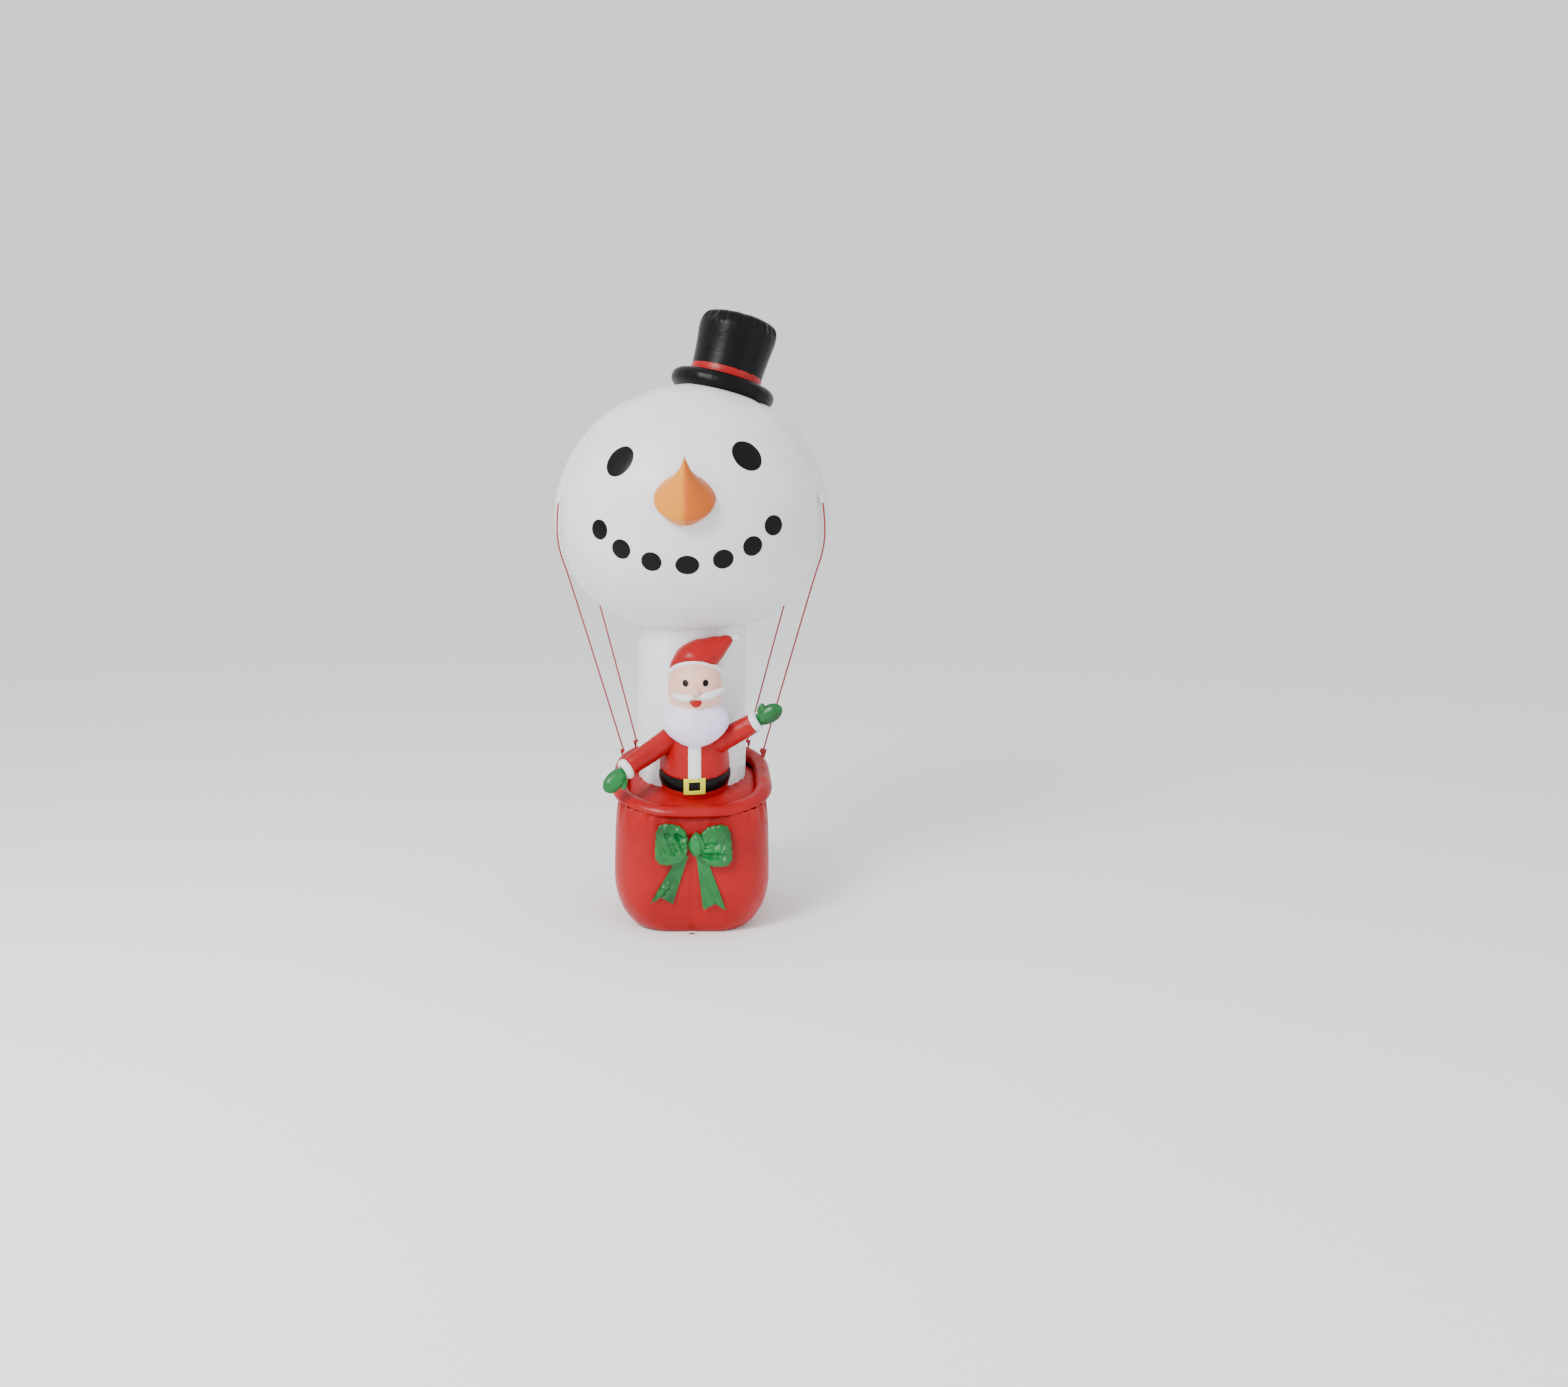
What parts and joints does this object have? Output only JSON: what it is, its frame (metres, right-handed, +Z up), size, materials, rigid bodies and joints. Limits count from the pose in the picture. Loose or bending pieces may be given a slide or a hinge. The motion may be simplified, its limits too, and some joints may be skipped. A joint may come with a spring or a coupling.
{
  "type": "inflatable yard snowman",
  "caption": "Inflatable snowman balloon in a top hat on a white column, standing in a tied gift sack with a small waving figure, corded to the sack's rolled collar.",
  "frame": {"origin": "centre of the resting face under the sack", "axes": "+Z up, the snowman's face looks along -Y, +X to a viewer's right when facing it"},
  "size_m": [1.104, 1.2407, 2.4003],
  "materials": {
    "white_taffeta": "plain woven coated taffeta, soft sheen",
    "red_taffeta": "plain woven coated taffeta, soft sheen",
    "black_taffeta": "plain woven coated taffeta, soft sheen",
    "green_taffeta": "crinkled coated taffeta",
    "orange_taffeta": "plain woven coated taffeta",
    "yellow_taffeta": "plain woven coated taffeta",
    "skin_taffeta": "plain woven coated taffeta",
    "red_cord": "braided polyester cord",
    "white_webbing": "flat woven webbing",
    "red_webbing": "flat woven webbing",
    "blower_plastic": "moulded ABS, fine texture",
    "motor_can": "pressed steel can",
    "steel": "bright zinc plated steel",
    "black_rubber": "moulded PVC rubber",
    "lamp_plastic": "frosted moulded plastic",
    "ballast_canvas": "woven canvas",
    "red_zipper_tape": "woven zipper tape with nylon coil",
    "zipper_metal": "painted zinc die casting",
    "brass_eyelet": "rolled brass eyelet"
  },
  "bodies": {
    "root": {"sack_wall": "red_taffeta", "sack_base_panel": "red_taffeta", "sack_top_panel": "red_taffeta", "collar": "red_taffeta", "column": "white_taffeta", "balloon_front": "white_taffeta", "balloon_back": "white_taffeta", "eye_left": "black_taffeta", "eye_right": "black_taffeta", "mouth_dots": "black_taffeta", "nose_left_panel": "orange_taffeta", "nose_right_panel": "orange_taffeta", "hat_brim": "black_taffeta", "hat_band": "red_taffeta", "hat_crown": "black_taffeta", "tether_front_left": "red_cord", "tether_front_right": "red_cord", "tether_back_left": "red_cord", "tether_back_right": "red_cord", "balloon_tabs": "white_webbing", "collar_tabs": "red_webbing", "bow_knot": "green_taffeta", "bow_loop_left": "green_taffeta", "bow_loop_right": "green_taffeta", "figure_torso": "red_taffeta", "coat_placket": "white_taffeta", "belt": "black_taffeta", "buckle": "yellow_taffeta", "figure_head": "skin_taffeta", "figure_eyes": "black_taffeta", "figure_nose": "skin_taffeta", "figure_mouth": "red_taffeta", "figure_beard": "white_taffeta", "figure_moustache": "white_taffeta", "figure_cap": "red_taffeta", "cap_trim": "white_taffeta", "cap_pompom": "white_taffeta", "blower_housing": "blower_plastic", "blower_grille": "blower_plastic", "blower_motor": "motor_can", "blower_screws": "steel", "power_inlet": "black_rubber", "lamps": "lamp_plastic", "lamp_lead": "black_rubber", "ballast_bag": "ballast_canvas", "zipper_tape": "red_zipper_tape", "stake_tabs": "white_webbing", "stake_eyelets": "brass_eyelet"},
    "impeller": {"blower_impeller": "blower_plastic", "impeller_shaft": "steel"},
    "arm_left": {"sleeve_left": "red_taffeta", "cuff_left": "white_taffeta", "mitten_left": "green_taffeta"},
    "arm_right": {"sleeve_right": "red_taffeta", "cuff_right": "white_taffeta", "mitten_right": "green_taffeta"},
    "bow_tail_left": {"bow_tail_left": "green_taffeta"},
    "bow_tail_right": {"bow_tail_right": "green_taffeta"},
    "zipper_slider": {"zipper_slider": "zipper_metal"},
    "zipper_pull": {"zipper_pull": "zipper_metal"}
  },
  "joints": [
    {"name": "impeller_spin", "type": "hinge", "parent": "root", "child": "impeller", "pos_m": [0, 0.29, 0.205], "axis": [0, 1, 0], "continuous": true},
    {"name": "arm_left_sway", "type": "hinge", "parent": "root", "child": "arm_left", "pos_m": [-0.098, -0.172, 0.702], "axis": [0, 1, 0], "range_deg": [-12, 20], "stiffness_Nm_per_rad": 6},
    {"name": "arm_right_wave", "type": "hinge", "parent": "root", "child": "arm_right", "pos_m": [0.116, -0.172, 0.702], "axis": [0, 1, 0], "range_deg": [-20, 20], "stiffness_Nm_per_rad": 6},
    {"name": "bow_tail_left_lift", "type": "hinge", "parent": "root", "child": "bow_tail_left", "pos_m": [-0.053, -0.3245, 0.262], "axis": [-1, 0, 0], "range_deg": [0, 65]},
    {"name": "bow_tail_right_lift", "type": "hinge", "parent": "root", "child": "bow_tail_right", "pos_m": [0.056, -0.3245, 0.254], "axis": [-1, 0, 0], "range_deg": [0, 65]},
    {"name": "zipper_slide", "type": "slide", "parent": "root", "child": "zipper_slider", "axis": [1, 0, 0], "range_m": [0, 0.26]},
    {"name": "zipper_pull_swing", "type": "hinge", "parent": "zipper_slider", "child": "zipper_pull", "pos_m": [-0.136, 0.3308, 0.375], "axis": [1, 0, 0], "range_deg": [0, 150]}
  ]
}
